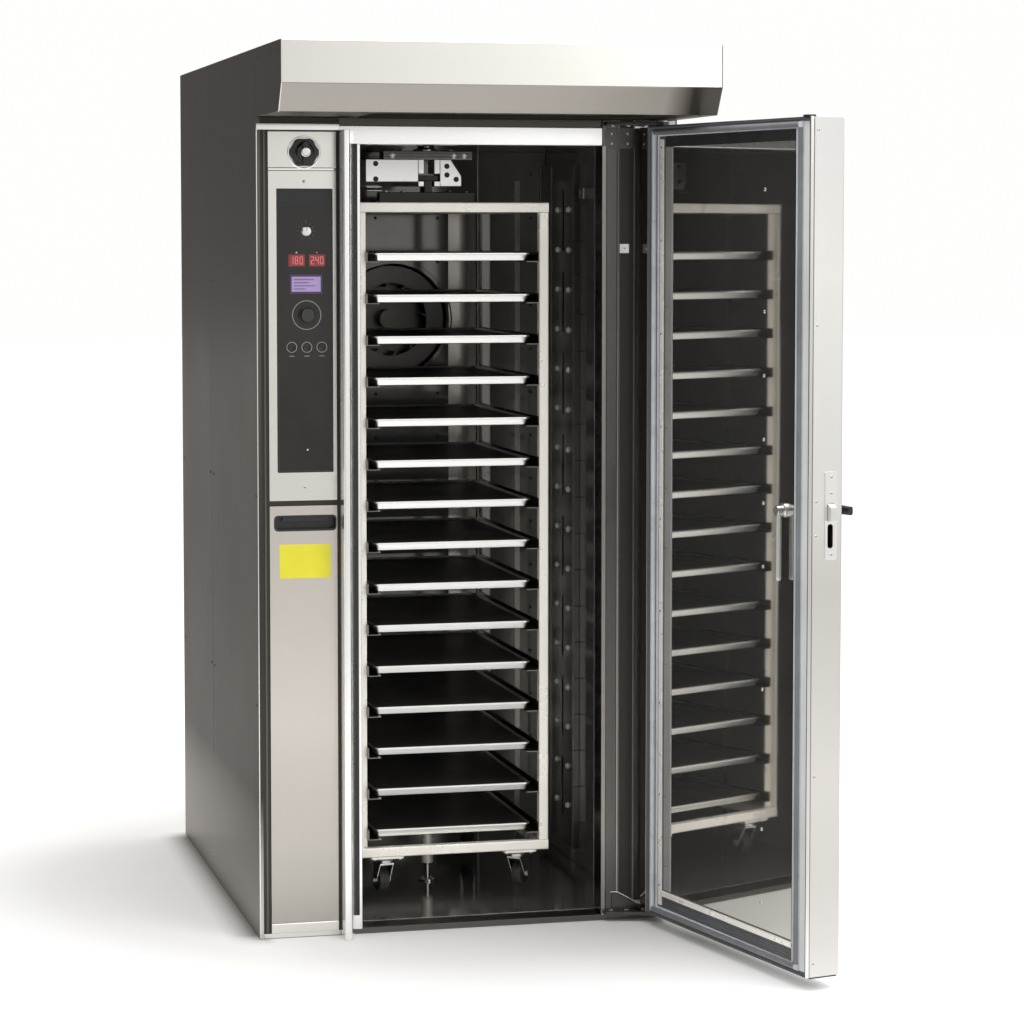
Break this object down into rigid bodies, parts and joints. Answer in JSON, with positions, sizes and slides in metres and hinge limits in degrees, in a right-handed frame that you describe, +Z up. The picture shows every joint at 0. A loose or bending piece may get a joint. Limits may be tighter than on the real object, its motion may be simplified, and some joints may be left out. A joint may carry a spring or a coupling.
{
  "type": "rotating rack oven",
  "caption": "Free-standing bakery oven: a wheeled tray rack hangs from a turning yoke in a steel chamber, behind a glazed swing door, under a front hood.",
  "frame": {"origin": "centre of the cabinet's footprint, on the floor that it stands on", "axes": "+Z up; -Y is the front, with the hood and the door; +X is to the right as one faces the front, the door's hinge side"},
  "size_m": [1.2205, 2.0882, 2.115],
  "materials": {
    "stainless": "brushed",
    "dark_stainless": "brushed",
    "liner_steel": "polished, heat tinted",
    "galvanised": "matt",
    "cream_enamel": "satin",
    "tray_aluminium": "satin",
    "black_plastic": "satin",
    "black_glass": "gloss",
    "gasket_rubber": "matt",
    "mineral_wool": "matt",
    "machine_paint": "satin",
    "wheel_black": "matt"
  },
  "bodies": {
    "cabinet": {"base_pan": "liner_steel", "left_side_panel": "dark_stainless", "right_side_panel": "dark_stainless", "rear_panel": "stainless", "roof_panel": "stainless", "chamber_liner": "liner_steel", "chamber_ceiling": "liner_steel", "fan_wall": "liner_steel", "insulation": "mineral_wool", "air_duct": "liner_steel", "front_frame": "stainless", "hood": "stainless", "column_frame": "stainless", "control_glass": "black_glass", "fan_motor": "machine_paint", "heater_steam_unit": "dark_stainless", "drive_gearmotor": "machine_paint", "floor_pin": "stainless"},
    "door": {"door_shell": "stainless", "door_inner_glass": "black_glass", "door_outer_glass": "black_glass", "door_gasket": "gasket_rubber"},
    "door_handle": {"door_handle": "black_plastic"},
    "inner_release": {"inner_release": "stainless"},
    "latch_bolt": {"latch_bolt": "stainless"},
    "service_door": {"service_door": "stainless"},
    "main_switch_knob": {"main_switch_knob": "black_plastic"},
    "set_knob": {"set_knob": "tray_aluminium"},
    "program_knob": {"program_knob": "black_plastic"},
    "button_1": {"button_1": "black_plastic"},
    "button_2": {"button_2": "black_plastic"},
    "button_3": {"button_3": "black_plastic"},
    "fan": {"fan_impeller": "tray_aluminium"},
    "lift": {"lift_bearing": "galvanised"},
    "rack": {"drive_yoke": "stainless", "rack_top_frame": "cream_enamel", "rack_bottom_frame": "cream_enamel", "rack_side_left": "cream_enamel", "rack_side_right": "cream_enamel"},
    "caster_front_left": {"caster_fork_front_left": "stainless"},
    "caster_front_right": {"caster_fork_front_right": "stainless"},
    "wheel_front_left": {"wheel_front_left": "wheel_black"},
    "wheel_front_right": {"wheel_front_right": "wheel_black"},
    "wheel_rear_left": {"wheel_rear_left": "wheel_black"},
    "wheel_rear_right": {"wheel_rear_right": "wheel_black"},
    "tray_01": {"tray_01": "tray_aluminium"},
    "tray_02": {"tray_02": "tray_aluminium"},
    "tray_03": {"tray_03": "tray_aluminium"},
    "tray_04": {"tray_04": "tray_aluminium"},
    "tray_05": {"tray_05": "tray_aluminium"},
    "tray_06": {"tray_06": "tray_aluminium"},
    "tray_07": {"tray_07": "tray_aluminium"},
    "tray_08": {"tray_08": "tray_aluminium"},
    "tray_09": {"tray_09": "tray_aluminium"},
    "tray_10": {"tray_10": "tray_aluminium"},
    "tray_11": {"tray_11": "tray_aluminium"},
    "tray_12": {"tray_12": "tray_aluminium"},
    "tray_13": {"tray_13": "tray_aluminium"},
    "tray_14": {"tray_14": "tray_aluminium"},
    "tray_15": {"tray_15": "tray_aluminium"}
  },
  "joints": [
    {"name": "door_hinge", "type": "hinge", "parent": "cabinet", "child": "door", "pos_m": [0.463, -0.7, 0.984], "axis": [0, 0, 1], "range_deg": [-102.5, 57.5]},
    {"name": "door_handle_turn", "type": "hinge", "parent": "door", "child": "door_handle", "pos_m": [0.64188, -1.31281, 1.066], "axis": [0.9763, 0.2164, 0], "range_deg": [0, 40], "stiffness_Nm_per_rad": 1.5, "springref_deg": -5.73},
    {"name": "inner_release_turn", "type": "hinge", "parent": "door", "child": "inner_release", "pos_m": [0.56573, -1.32969, 1.066], "axis": [0.9763, 0.2164, 0], "range_deg": [0, 40]},
    {"name": "latch_bolt_slide", "type": "slide", "parent": "door", "child": "latch_bolt", "axis": [-0.2164, 0.9763, 0], "range_m": [0, 0.0125]},
    {"name": "service_door_hinge", "type": "hinge", "parent": "cabinet", "child": "service_door", "pos_m": [-0.4855, -0.6465, 0.536], "axis": [0, 0, 1], "range_deg": [-110, 0]},
    {"name": "main_switch_turn", "type": "hinge", "parent": "cabinet", "child": "main_switch_knob", "pos_m": [-0.401, -0.65, 1.872], "axis": [0, 1, 0], "range_deg": [0, 90]},
    {"name": "set_knob_turn", "type": "hinge", "parent": "cabinet", "child": "set_knob", "pos_m": [-0.397, -0.65, 1.687], "axis": [0, 1, 0], "range_deg": [-135, 135]},
    {"name": "program_knob_turn", "type": "hinge", "parent": "cabinet", "child": "program_knob", "pos_m": [-0.396, -0.65, 1.489], "axis": [0, 1, 0], "continuous": true},
    {"name": "button_1_press", "type": "slide", "parent": "cabinet", "child": "button_1", "axis": [0, 1, 0], "range_m": [0, 0.0015], "stiffness_N_per_m": 400},
    {"name": "button_2_press", "type": "slide", "parent": "cabinet", "child": "button_2", "axis": [0, 1, 0], "range_m": [0, 0.0015], "stiffness_N_per_m": 400},
    {"name": "button_3_press", "type": "slide", "parent": "cabinet", "child": "button_3", "axis": [0, 1, 0], "range_m": [0, 0.0015], "stiffness_N_per_m": 400},
    {"name": "fan_spin", "type": "hinge", "parent": "cabinet", "child": "fan", "pos_m": [0, 0.35, 1.45], "axis": [0, 1, 0], "continuous": true},
    {"name": "rack_lift", "type": "slide", "parent": "cabinet", "child": "lift", "axis": [0, 0, 1], "range_m": [-0.03, 0]},
    {"name": "rack_turn", "type": "hinge", "parent": "lift", "child": "rack", "pos_m": [0, -0.159, 1], "axis": [0, 0, 1], "continuous": true},
    {"name": "caster_front_left_swivel", "type": "hinge", "parent": "rack", "child": "caster_front_left", "pos_m": [-0.169, -0.435, 0.13], "axis": [0, 0, 1], "continuous": true},
    {"name": "wheel_front_left_roll", "type": "hinge", "parent": "caster_front_left", "child": "wheel_front_left", "pos_m": [-0.17206, -0.41321, 0.078], "axis": [0.9903, 0.1392, 0], "continuous": true},
    {"name": "caster_front_right_swivel", "type": "hinge", "parent": "rack", "child": "caster_front_right", "pos_m": [0.169, -0.435, 0.13], "axis": [0, 0, 1], "continuous": true},
    {"name": "wheel_front_right_roll", "type": "hinge", "parent": "caster_front_right", "child": "wheel_front_right", "pos_m": [0.18254, -0.41766, 0.078], "axis": [0.788, -0.6157, 0], "continuous": true},
    {"name": "wheel_rear_left_roll", "type": "hinge", "parent": "rack", "child": "wheel_rear_left", "pos_m": [-0.169, 0.117, 0.078], "axis": [1, 0, 0], "continuous": true},
    {"name": "wheel_rear_right_roll", "type": "hinge", "parent": "rack", "child": "wheel_rear_right", "pos_m": [0.169, 0.117, 0.078], "axis": [1, 0, 0], "continuous": true},
    {"name": "tray_01_slide", "type": "slide", "parent": "rack", "child": "tray_01", "axis": [0, -1, 0], "range_m": [0, 0.115]},
    {"name": "tray_02_slide", "type": "slide", "parent": "rack", "child": "tray_02", "axis": [0, -1, 0], "range_m": [0, 0.115]},
    {"name": "tray_03_slide", "type": "slide", "parent": "rack", "child": "tray_03", "axis": [0, -1, 0], "range_m": [0, 0.115]},
    {"name": "tray_04_slide", "type": "slide", "parent": "rack", "child": "tray_04", "axis": [0, -1, 0], "range_m": [0, 0.115]},
    {"name": "tray_05_slide", "type": "slide", "parent": "rack", "child": "tray_05", "axis": [0, -1, 0], "range_m": [0, 0.115]},
    {"name": "tray_06_slide", "type": "slide", "parent": "rack", "child": "tray_06", "axis": [0, -1, 0], "range_m": [0, 0.115]},
    {"name": "tray_07_slide", "type": "slide", "parent": "rack", "child": "tray_07", "axis": [0, -1, 0], "range_m": [0, 0.115]},
    {"name": "tray_08_slide", "type": "slide", "parent": "rack", "child": "tray_08", "axis": [0, -1, 0], "range_m": [0, 0.115]},
    {"name": "tray_09_slide", "type": "slide", "parent": "rack", "child": "tray_09", "axis": [0, -1, 0], "range_m": [0, 0.115]},
    {"name": "tray_10_slide", "type": "slide", "parent": "rack", "child": "tray_10", "axis": [0, -1, 0], "range_m": [0, 0.115]},
    {"name": "tray_11_slide", "type": "slide", "parent": "rack", "child": "tray_11", "axis": [0, -1, 0], "range_m": [0, 0.115]},
    {"name": "tray_12_slide", "type": "slide", "parent": "rack", "child": "tray_12", "axis": [0, -1, 0], "range_m": [0, 0.115]},
    {"name": "tray_13_slide", "type": "slide", "parent": "rack", "child": "tray_13", "axis": [0, -1, 0], "range_m": [0, 0.115]},
    {"name": "tray_14_slide", "type": "slide", "parent": "rack", "child": "tray_14", "axis": [0, -1, 0], "range_m": [0, 0.115]},
    {"name": "tray_15_slide", "type": "slide", "parent": "rack", "child": "tray_15", "axis": [0, -1, 0], "range_m": [0, 0.115]}
  ],
  "couplings": [
    {"joint": "inner_release_turn", "follows": "door_handle_turn", "ratio": 1},
    {"joint": "latch_bolt_slide", "follows": "door_handle_turn", "m_per_rad": 0.017189}
  ]
}
